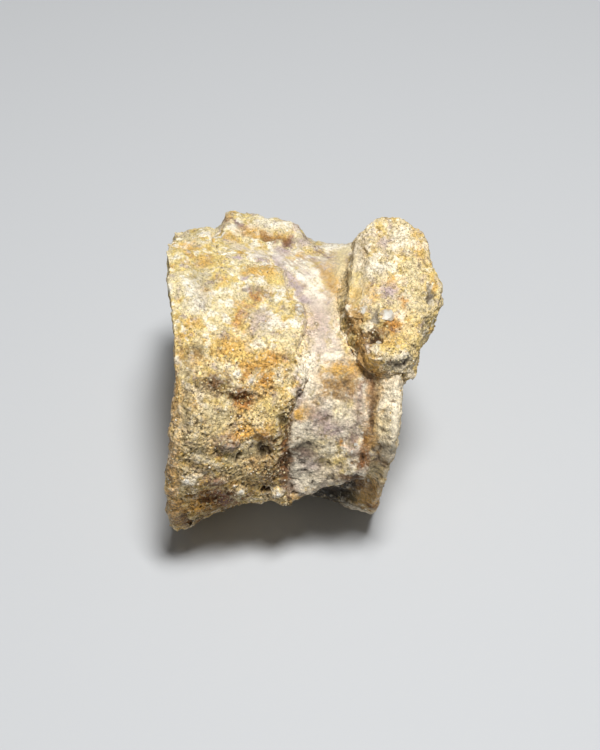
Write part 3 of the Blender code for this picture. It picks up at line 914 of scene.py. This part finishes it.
bone = {
    "voxel": 0.31 * mm,
    "rounds": 12,
    "endFacing": (0.75, 0.95),  # how squarely the end faces look along the bone
    "rimFade": 1 * mm,
    "rootTurn": math.radians(41),  # place of the roots of the arch, about the length of the bone
    "rootHalf": (0.2, 0.36),  # half their width, in radians
    "rootEndX": 2.6 * mm,
    "rootFade": 2 * mm,
    "rearX": -14 * mm,  # the bone is sandy behind this
    "rearFade": 4 * mm,
    "rearRagged": (2 * mm, 4 * mm, 3, 11.0),
    "drift": (8 * mm, 3, 3.0),  # clouds of sand on the sides that the photo doesn't show
    "driftFrom": (-2 * mm, 8 * mm),  # depth behind the frame's origin, as the camera sees it
    "crustNear": 3 * mm,  # farthest from the crust that the bone changes
    "capNear": 2 * mm,
    "edgeWidth": (0.2 * mm, 2.4 * mm),  # sand around the crust
    "edgeRagged": (0.6 * mm, 1.5 * mm, 3, 14.0),
    "collarWidth": (0.3 * mm, 1.8 * mm),  # sand around the cap
    "lipWidth": (0.2 * mm, 1.8 * mm),
    "lip": 0.4 * mm,  # rise of the sand at the edge of the crust
    "carving": 1,  # how much bolder than given its bumps and grooves are
    "ragged": (0.5 * mm, 1.7 * mm),
    "stainRise": 0.25 * mm,
    "hollow": (6, 0.12 * mm),  # rounds of smoothing and depth that set the painted shade in a hollow
    "clear": (0.5 * mm, 2 * mm),  # its hollows get less painted shade nearer to the crusts than this
    # layers of relief: height and width, the octaves of a cloud, and the place in the noise
    "lumps": (0.26 * mm, 3.2 * mm, 4),
    "knobs": (0.13 * mm, 0.9 * mm, 3, 5.0),
    "ledges": (0.35 * mm, 4 * mm, 62.0),
    "grains": (0.16 * mm, 0.55 * mm),
    "facets": (0.3 * mm, 2.4 * mm),
    "streaks": (0.09 * mm, 1, 3),  # its width and the next one's are in fibres
    "ribs": (0.24 * mm, 1.5, 2, 4.0),
    "worn": (0.5 * mm, 7 * mm, 3, 71.0),
    "steps": (0.5 * mm, 5 * mm, 64.0),
    "poreCells": (0.9 * mm, 2.0),  # their spacing and place in the noise
    "poreRadius": 0.42,  # of a cell
    "poreDepth": 0.6 * mm,
    "fillet": ((346, 262, 18, 30, 1.0), (340, 300, 12, 24, 0.8)),  # where the bone sweeps up to the cap
    "filletRise": 1.6 * mm,
    "filletReach": 3.4 * mm,
    "filletCurve": 1.5,
    "bumps": (
        (252, 217, 14, 5, 0.5),
        (282, 225, 10, 4, 0.4),
        (300, 238, 6, 5, 0.3),
        (303, 449, 9, 9, -0.35),
        (312, 470, 12, 12, 0.3),
        (342, 443, 2.5, 2.5, 0.25),
        (356, 449, 5, 7, 0.35),
        (363, 460, 5, 6, -0.7),
        (340, 385, 12, 7, -0.25),
        (331, 287, 4, 4, -0.2),
        (376, 507, 6, 7, 0.5),
        (345, 494, 20, 7, -1.0),
    ),
    "grooves": (
        (0.6, -0.8, ((246, 233), (258, 236), (270, 238), (280, 235), (289, 240))),
        (0.4, 0.15, ((268, 245), (280, 262), (296, 273), (309, 285), (321, 298))),
        (0.5, -0.15, ((276, 258), (288, 276), (297, 290), (304, 302))),
        (0.5, -0.15, ((305, 385), (300, 394), (294, 408), (290, 418))),
        (0.8, -0.3, ((289, 430), (286, 445), (288, 462), (291, 480), (293, 494))),
        (0.8, -0.1, ((374, 377), (372, 396), (371, 412), (370, 430), (366, 444))),
    ),
}


def makeBone(crustTree, capTree):
    piece = evenSkin("vertebra_bone", "fossilBone", bone["voxel"], bone["rounds"])
    points = pointsOf(piece)
    normals = normalsOf(piece)
    along, across = fibreFlow(points)
    x = points[:, 0]
    coarse = lowness(points)
    upper = smoothFall(coarse, 0.5, 0.9)
    end = smoothStep(np.abs(normals[:, 0]), *bone["endFacing"])
    rim = smoothStep(x, spine["rimX"], spine["rimX"] + bone["rimFade"])
    ribbed = rim * (1 - end)
    root = smoothFall(np.abs(np.abs(turnOf(points)) - bone["rootTurn"]), *bone["rootHalf"])
    root *= smoothFall(x, bone["rootEndX"], bone["rootEndX"] + bone["rootFade"])
    ragged = x + relief(cloud, points, bone["rearRagged"])
    rear = smoothFall(ragged, bone["rearX"], bone["rearX"] + bone["rearFade"])
    drift = smoothStep(cloud(points, *bone["drift"]), 0.05, 0.45)
    drift *= smoothStep(-(points @ np.array(toCamera)), *bone["driftFrom"])
    crustGap = gapTo(crustTree, points, bone["crustNear"]) + relief(cloud, points, bone["edgeRagged"])
    capGap = gapTo(capTree, points, bone["capNear"])
    edge = smoothFall(crustGap, *bone["edgeWidth"]) * upper
    collar = smoothFall(capGap, *bone["collarWidth"]) * 0.7
    sandy = np.clip(np.maximum.reduce([root, rear, end * 0.9, drift, rim * 0.5, edge, collar]), 0, 1)
    sweep = besideOf(capTree, points, normals, bone["filletReach"]) ** bone["filletCurve"]
    sweep *= spotMask(points, bone["fillet"])
    fibrePoints = np.stack([along * 0.8, across * 0.7, np.zeros(len(x))], axis=1)
    pores = np.clip(bone["poreRadius"] - cells(points, *bone["poreCells"]), 0, 1) * end
    broken = relief(ledges, points, bone["ledges"]) * np.maximum(0.7 * sandy, coarse)
    chipped = relief(facets, points, bone["facets"]) * np.maximum(0.4 * sandy, coarse)
    grainy = relief(domes, points, bone["grains"]) * np.maximum(sandy, 0.2 + 0.6 * coarse)
    height = relief(cloud, points, bone["lumps"]) * (0.7 + 0.5 * sandy + 0.8 * root)
    height += relief(cloud, points, bone["knobs"])
    height += broken * (1 - 0.7 * ribbed)
    height += grainy * (1 - 0.6 * ribbed)
    height += chipped * (1 - 0.7 * ribbed)
    height += relief(cloud, fibrePoints, bone["streaks"]) * (1 - sandy) * (1 - 0.6 * coarse)
    height += relief(cloud, fibrePoints, bone["ribs"]) * ribbed
    worn = relief(cloud, points, bone["worn"]) + relief(ledges, points, bone["steps"])
    height += np.minimum(worn, 0) * end
    height -= bone["poreDepth"] * pores
    height += bone["lip"] * smoothFall(crustGap, *bone["lipWidth"]) * np.maximum(upper, rear)
    height += bone["filletRise"] * sweep
    # Painted shade in the hollows: little next to the crusts and cap unless low down, and strong in the
    # pores
    inOpen = smoothStep(np.minimum(crustGap, capGap), *bone["clear"])
    inOpen = np.maximum(inOpen, 0.7 * coarse)
    hollow = shapeSkin(piece, points, normals, height, bone) * (0.1 + 0.9 * inOpen) + pores * 2
    paint = paintFossil("fossil bone", 0.6)
    marks = {"bare": 1 - sandy, "coarse": coarse, "hollow": hollow, "ribbed": ribbed}
    finishSkin(piece, points, paint, "bone", "vertebra_bone", **marks)
    return piece


crust = {
    "voxel": 0.205 * mm,
    "rounds": 24,
    "reach": 1.0 * mm,
    "sink": 0.35 * mm,
    "rearX": -24 * mm,
    "hook": 1.0 * mm,  # how far its rear edge is drawn out
    "hookReach": 8 * mm,  # how far in front of rearX that starts
    "hookProbe": 3 * mm,  # how far inside the edge the bone's rim is looked for
    "hookFade": (0.5 * mm, 6 * mm),  # in front of the bone's rim
    "hookSoft": (2 * mm, 5 * mm),  # in front of rearX
    "hookRounds": 6,
    "rimGap": 1.6 * mm,  # how much further low on the flank, from this angle on
    "rimFrom": (math.radians(124), math.radians(140)),
    "near": 2 * mm,  # farthest from the bone that it changes
    "edge": (0.5 * mm, 1.5 * mm),  # over what gap to the bone its thin edge ends
    "edgeRagged": (0.4 * mm, 1.5 * mm, 3, 14.0),
    "edgeSink": 0.25 * mm,
    "rearSink": 0.4 * mm,
    "rearWidth": (1 * mm, 3 * mm),  # in front of rearX
    "bareX": (-10 * mm, -6 * mm),  # its thin edge shows the bone's colours in front of this
    "peppered": (4 * mm, 2, 41.0),
    "carving": 1.5,
    "ragged": (0.5 * mm, 1.7 * mm),
    "stainRise": 0.3 * mm,
    "hollow": (8, 0.12 * mm),
    "lumps": (0.36 * mm, 3.2 * mm, 4),
    "knobs": (0.15 * mm, 0.9 * mm, 3, 4.0),
    "mounds": (0.4 * mm, 6 * mm, 2, 51.0),
    "ledges": (0.4 * mm, 4 * mm, 61.0),
    "grains": (0.2 * mm, 0.5 * mm),
    "facets": (0.35 * mm, 2.6 * mm),
    "pits": (0.3 * mm, 0.6 * mm, 2, 7.0),
    "bumps": (
        (216, 380, 11, 7, 0.45),
        (240, 387, 10, 7, 0.5),
        (258, 360, 14, 9, 0.4),
        (230, 350, 14, 8, 0.3),
        (202, 236, 10, 6, 0.3),
        (186, 252, 8, 8, 0.25),
        (299, 309, 6, 8, 0.5),
        (270, 272, 14, 6, 0.3),
        (281, 323, 1.6, 1.6, -0.6),
        (243, 402, 10, 4, -0.45),
        (222, 396, 8, 5, -0.35),
        (230, 427, 2.5, 2.5, -0.8),
        (226, 442, 13, 8, 0.6),
        (228, 457, 12, 4, -0.5),
        (217, 479, 10, 5, 0.25),
        (263, 435, 12, 7, 0.5),
        (264, 451, 7, 4, -0.4),
        (285, 424, 5, 12, -0.4),
        (266, 491, 4, 4, -0.7),
        (241, 490, 5, 4, 0.6),
        (278, 493, 5, 4, 0.6),
        (187, 482, 8, 5, 0.5),
        (205, 500, 16, 4, -0.5),
        (184, 517, 4, 4, -0.7),
        (200, 420, 10, 16, 0.3),
        (196, 452, 8, 10, -0.25),
    ),
    "grooves": (
        (0.5, 0.2, ((256, 283), (266, 286), (275, 291), (282, 292))),
        (0.6, -0.2, ((244, 289), (256, 289), (270, 295))),
        (0.3, -0.25, ((241, 455), (237, 462))),
        (0.5, -0.5, ((190, 497), (202, 499), (214, 497))),
    ),
}


def makeCrust(boneTree):
    piece = evenSkin("matrix_crust", "sandyCrust", crust["voxel"], crust["rounds"])
    settle(piece, boneTree, crust["reach"], crust["sink"])
    hooked(piece, boneTree)
    points = pointsOf(piece)
    normals = normalsOf(piece)
    x = points[:, 0]
    coarse = lowness(points)
    gap = gapTo(boneTree, points, crust["near"]) + relief(cloud, points, crust["edgeRagged"])
    thin = smoothFall(gap, *crust["edge"])
    bare = 0.85 * thin * smoothStep(x, *crust["bareX"])
    rear = smoothFall(x - crust["rearX"], *crust["rearWidth"])
    peppered = smoothStep(cloud(points, *crust["peppered"]), -0.35, 0.35) * coarse
    height = relief(cloud, points, crust["lumps"]) + relief(cloud, points, crust["knobs"])
    height += relief(cloud, points, crust["mounds"]) + relief(ledges, points, crust["ledges"])
    height += relief(domes, points, crust["grains"]) * (0.5 + 0.5 * coarse)
    height += relief(facets, points, crust["facets"]) * coarse
    height -= relief(pits, points, crust["pits"]) * peppered
    height -= crust["edgeSink"] * thin + crust["rearSink"] * rear
    # Painted shade in its hollows, less on its thin edge
    hollow = shapeSkin(piece, points, normals, height, crust) * (1 - thin * (0.9 - 0.4 * coarse))
    paint = paintFossil("sandy matrix", 0.85)
    marks = {"bare": bare, "coarse": 0.4 * coarse + 0.6 * peppered, "hollow": hollow, "ribbed": 0 * coarse}
    finishSkin(piece, points, paint, "crust", "matrix_crust", **marks)
    return piece


cap = {
    "voxel": 0.19 * mm,
    "rounds": 20,
    "reach": 0.9 * mm,
    "sink": 0.35 * mm,
    "near": 2 * mm,
    "clear": (0.5 * mm, 2 * mm),  # its hollows get less painted shade nearer to the bone than this
    # where its left side sinks, down to the bone at strength 1
    "slope": ((336, 283, 24, 42, 0.85), (346, 338, 15, 24, 0.6)),
    "tuck": 0.3 * mm,  # how far its left wall is tucked in
    # where it is smoother
    "plate": ((355, 285, 13, 30, 1.0), (356, 255, 8, 20, 1.0), (368, 357, 8, 14, 0.8)),
    "plateRagged": (0.3, 1.2 * mm, 3, 9.0),
    "carving": 1,
    "ragged": (0.4 * mm, 1.7 * mm),
    "stainRise": 0.3 * mm,
    "hollow": (8, 0.14 * mm),
    "lumps": (0.3 * mm, 3.0 * mm, 4, 2.0),
    "knobs": (0.16 * mm, 1.1 * mm, 3, 6.0),
    "grains": (0.18 * mm, 0.5 * mm),
    "facets": (0.9 * mm, 3.2 * mm),
    "ledges": (0.5 * mm, 4 * mm, 63.0),
    "bumps": (
        (379, 270, 6, 5, 0.5),
        (388, 291, 6, 6, 0.2),
        (386, 316, 5, 5, 0.4),
        (376, 313, 2.5, 5, -0.7),
        (353, 321, 5, 6, -0.4),
        (368, 338, 10, 4, -0.35),
        (386, 327, 7, 3, -0.4),
        (360, 327, 7, 4, 0.4),
        (396, 322, 4, 6, -0.3),
        (372, 354, 10, 8, 0.3),
        (402, 364, 8, 4, -0.3),
        (429, 294, 3, 7, -0.5),
        (438, 300, 3, 12, 0.5),
    ),
    "grooves": (
        (0.4, 0.4, ((342, 278), (342, 290), (345, 302), (348, 314))),
        (0.6, 0.35, ((376, 222), (370, 246), (375, 267), (374, 286), (368, 304))),
        (0.35, 0.4, ((352, 336), (356, 352), (363, 364), (374, 372))),
    ),
}


def leaned(piece, bone):
    # Lowers the left side of the cap to a slope that runs down to the bone
    points = pointsOf(piece)
    share = spotMask(points, cap["slope"])
    for k in np.flatnonzero(share > 0):
        points[k] = Vector(points[k]).lerp(bone.find_nearest(points[k])[0], share[k])
    movePoints(piece, points)


def makeCap(boneTree):
    piece = evenSkin("boss_cap", "bossMatrix", cap["voxel"], cap["rounds"])
    settle(piece, boneTree, cap["reach"], cap["sink"])
    leaned(piece, boneTree)
    points = pointsOf(piece)
    normals = normalsOf(piece)
    boneGap = gapTo(boneTree, points, cap["near"])
    rough = 1 - 0.8 * spotMask(points, cap["plate"], relief(cloud, points, cap["plateRagged"]))
    coarse = (0.3 + 0.4 * lowness(points)) * rough
    height = relief(cloud, points, cap["lumps"]) + relief(cloud, points, cap["knobs"]) * rough
    height += relief(domes, points, cap["grains"]) * rough
    height += relief(facets, points, cap["facets"]) * (0.4 + 0.6 * rough)
    height += relief(ledges, points, cap["ledges"])
    height -= cap["tuck"] * smoothStep(-normals @ np.array(rightward), 0.3, 0.9)
    hollow = shapeSkin(piece, points, normals, height, cap)
    hollow *= 0.3 + 0.7 * smoothStep(boneGap, *cap["clear"])
    paint = paintFossil("gritty matrix", 0.8)
    marks = {"bare": 0.6 * (1 - rough), "coarse": coarse, "hollow": hollow, "ribbed": 0 * coarse}
    finishSkin(piece, points, paint, "grit", "boss_cap", **marks)
    return piece


crystals = {
    "spin": 0.6,  # radians
    "lean": 0.5,
    "jitter": 0.2,  # of their width
    "cloud": 0.8 * mm,
    # pixel, size in pixels across, up and out, of each chunk
    "onCap": (
        (386, 316, 7, 6.5, 2.5),
        (365, 309, 2.5, 6, 1.5),
        (379, 343, 2.5, 2, 1.5),
    ),
    "onCrust": (
        (299, 309, 4, 5, 1.5),
        (238, 374, 2, 2, 1.5),
        (251, 381, 2, 2, 1.5),
        (187, 481, 2.5, 2, 1.5),
        (241, 491, 2.5, 2, 1.5),
        (278, 494, 2.5, 2.5, 1.5),
        (258, 345, 2, 1.5, 1),
    ),
    "onBone": (
        (356, 445, 2, 2.5, 1),
        (352, 452, 1.5, 2, 1),
        (362, 432, 1.5, 1.5, 1),
        (369, 480, 2, 2, 1),
    ),
}


def paintCrystal():
    paint = Paint("milky crystal", 0.35)
    cloudy = paint.clouds(crystals["cloud"])
    colour = paint.mix(palette["milk"], palette["tan"], paint.between(cloudy, 0.42, 0.7) * 0.8)
    paint.feed(paint.shader.inputs["Base Color"], colour)
    paint.shader.inputs["Transmission Weight"].default_value = 0.1
    return paint.material


def meshedPiece(name, bm):
    mesh = bpy.data.meshes.new(name)
    bm.to_mesh(mesh)
    bm.free()
    return addObject(name, mesh)


def makeCrystals(name, host, chunks, material, seed):
    # Chunks of crystal in the skin of a piece, each at its pixel
    skin = treeOf(host.data)
    dice = np.random.RandomState(seed)
    facing = toCamera.to_track_quat("Z", "Y").to_matrix().to_4x4()
    spin = crystals["spin"]
    lean = crystals["lean"]
    jitter = crystals["jitter"]
    bm = bmesh.new()
    for x, y, wide, high, out in chunks:
        size = Matrix.Diagonal((wide * photo["pixel"], high * photo["pixel"], out * photo["pixel"], 1))
        turned = Matrix.Rotation(dice.uniform(-spin, spin), 4, "Z")
        turned = turned @ Matrix.Rotation(dice.uniform(-lean, lean), 4, "X")
        place = Matrix.Translation(pixelPoint(x, y, skin)) @ facing @ turned @ size
        made = bmesh.ops.create_icosphere(bm, subdivisions=2, radius=1, matrix=place)
        for vert in made["verts"]:
            vert.co += Vector(dice.uniform(-jitter, jitter, 3)) * wide * photo["pixel"]
    piece = meshedPiece(name, bm)
    finishPiece(piece, material, smooth=False)


sprinkle = {
    "size": (0.10 * mm, 0.24 * mm),
    "sink": 0.2,  # of its size
    "wide": (0.6, 1),  # of its length
    "thick": (0.5, 0.9),
    "onSmooth": 0.25,  # how likely grains are on smooth parts, beside 1 more on the coarsest
    "bareLimit": 1.02,  # bareness at which there would be none
    "onCrust": 1500,
    "onCap": 700,
    "onBone": 1500,
}


def paintGrains():
    paint = Paint("loose grain", 0.6)
    tone = paint.marked("tone")
    colour = paint.mix(palette["cream"], palette["white"], tone > 0.6)
    colour = paint.mix(colour, palette["ochre"], tone > 0.72)
    colour = paint.mix(colour, palette["brown"], tone > 0.88)
    paint.feed(paint.shader.inputs["Base Color"], colour)
    return paint.material


def makeGrains(name, host, count, material, seed):
    # Sand grains that stand out of a piece, most of them on its coarse parts
    dice = np.random.RandomState(seed)
    points = pointsOf(host)
    normals = normalsOf(host)
    likely = sprinkle["onSmooth"] + marked(host, "coarse")
    likely *= sprinkle["bareLimit"] - np.clip(marked(host, "bare"), 0, 1)
    picked = dice.choice(len(points), count, replace=False, p=likely / likely.sum())
    bm = bmesh.new()
    for k in picked:
        radius = dice.uniform(*sprinkle["size"])
        centre = Vector(points[k]) - Vector(normals[k]) * radius * sprinkle["sink"]
        centre.z = max(centre.z, radius)
        turned = Quaternion(dice.normal(size=4)).normalized().to_matrix().to_4x4()
        wide = radius * dice.uniform(*sprinkle["wide"])
        thick = radius * dice.uniform(*sprinkle["thick"])
        place = Matrix.Translation(centre) @ turned @ Matrix.Diagonal((radius, wide, thick, 1))
        bmesh.ops.create_icosphere(bm, subdivisions=1, radius=1, matrix=place)
    perGrain = len(bm.verts) // count
    piece = meshedPiece(name, bm)
    mark(piece, tone=np.repeat(dice.uniform(size=count), perGrain))
    finishPiece(piece, material, smooth=False)


boneTree = treeOf(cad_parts["vertebra_bone"].data)
crustTree = treeOf(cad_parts["matrix_crust"].data)
capTree = treeOf(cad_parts["boss_cap"].data)
print("bone")
fossilBone = makeBone(crustTree, capTree)
print("crust")
sandyCrust = makeCrust(boneTree)
print("cap")
bossMatrix = makeCap(boneTree)
print("crystals")
crystal = paintCrystal()
makeCrystals("capCrystals", bossMatrix, crystals["onCap"], crystal, seed=3)
makeCrystals("crustCrystals", sandyCrust, crystals["onCrust"], crystal, seed=4)
makeCrystals("boneCrystals", fossilBone, crystals["onBone"], crystal, seed=5)
print("grains")
grainPaint = paintGrains()
makeGrains("crustGrains", sandyCrust, sprinkle["onCrust"], grainPaint, seed=6)
makeGrains("capGrains", bossMatrix, sprinkle["onCap"], grainPaint, seed=7)
makeGrains("boneGrains", fossilBone, sprinkle["onBone"], grainPaint, seed=8)

studio = {
    "tableSize": 1.5,
    "tableDrop": 0.05 * mm,
    "tableColour": tint(198, 200, 202),
    "keyFrom": Vector((0.06, -0.07, 0.58)),
    "keySize": 0.13,
    "keyPower": 3.85,
    "fillFrom": Vector((-0.35, -0.45, 0.35)),
    "fillSize": 0.5,
    "fillPower": 0.16,
    "sky": 0.1,
}


def makeTable():
    bm = bmesh.new()
    bmesh.ops.create_grid(bm, size=studio["tableSize"] / 2)
    bmesh.ops.translate(bm, verts=bm.verts, vec=(0, 0, -studio["tableDrop"]))
    table = meshedPiece("table", bm)
    paint = Paint("table", 0.7)
    paint.feed(paint.shader.inputs["Base Color"], studio["tableColour"])
    table.data.materials.append(paint.material)


def makeLight(name, place, size, power):
    data = bpy.data.lights.new(name, "AREA")
    data.size = size
    data.energy = power
    light = addObject(name, data)
    light.location = place
    light.rotation_euler = (place - photo["target"]).to_track_quat("Z", "Y").to_euler()


print("studio")
makeTable()
makeLight("key", studio["keyFrom"], studio["keySize"], studio["keyPower"])
makeLight("fill", studio["fillFrom"], studio["fillSize"], studio["fillPower"])
world = bpy.data.worlds.new("studio")
world.use_nodes = True
world.node_tree.nodes["Background"].inputs["Color"].default_value = (1, 1, 1, 1)
world.node_tree.nodes["Background"].inputs["Strength"].default_value = studio["sky"]
scene.world = world
scene.view_settings.view_transform = "Standard"
